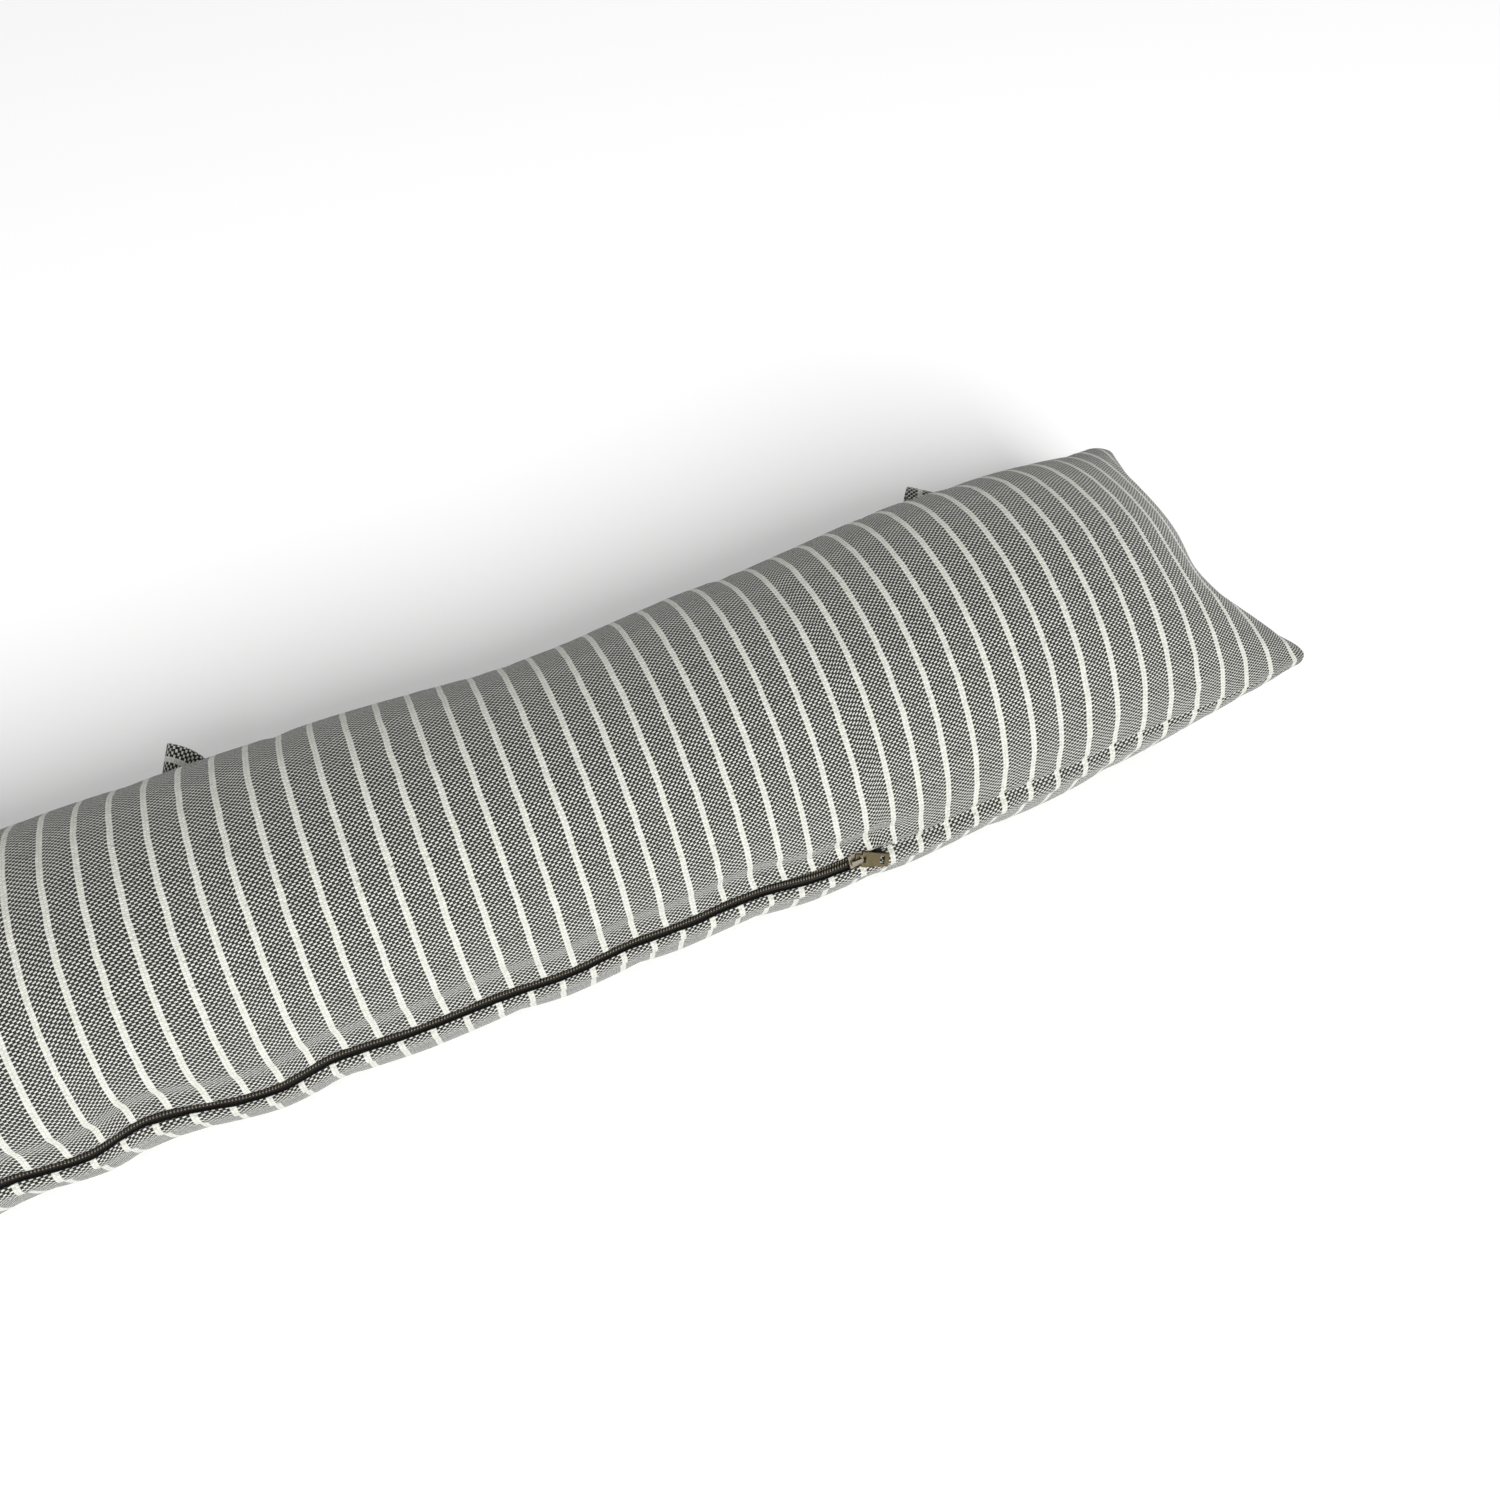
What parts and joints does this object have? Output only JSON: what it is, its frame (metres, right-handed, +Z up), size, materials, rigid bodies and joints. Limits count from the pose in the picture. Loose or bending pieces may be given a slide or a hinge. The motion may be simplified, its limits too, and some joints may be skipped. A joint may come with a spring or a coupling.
{
  "type": "draught excluder",
  "caption": "Long filled cloth draught excluder with a zip along its front seam and cloth hanging loops on its back seam.",
  "frame": {"origin": "middle of the flat underside, on the floor", "axes": "+X along the tube, to the right as seen from the zip side; +Y away from the zip, towards the loops; +Z up"},
  "size_m": [0.9934, 0.1873, 0.1354],
  "materials": {
    "cover_cloth": "plain weave of pale yarn along the tube and charcoal yarn around it, with narrow pale stripes around it",
    "tape_cloth": "matte",
    "coil_nylon": "satin",
    "slider_metal": "antique"
  },
  "bodies": {
    "root": {"filled_cover": "cover_cloth", "zip_tape": "tape_cloth", "zip_coil_upper": "coil_nylon", "zip_coil_lower": "coil_nylon", "zip_slider": "slider_metal", "zip_pull": "slider_metal", "hanging_loop_left": "cover_cloth", "hanging_loop_middle": "cover_cloth", "hanging_loop_right": "cover_cloth"}
  },
  "joints": []
}
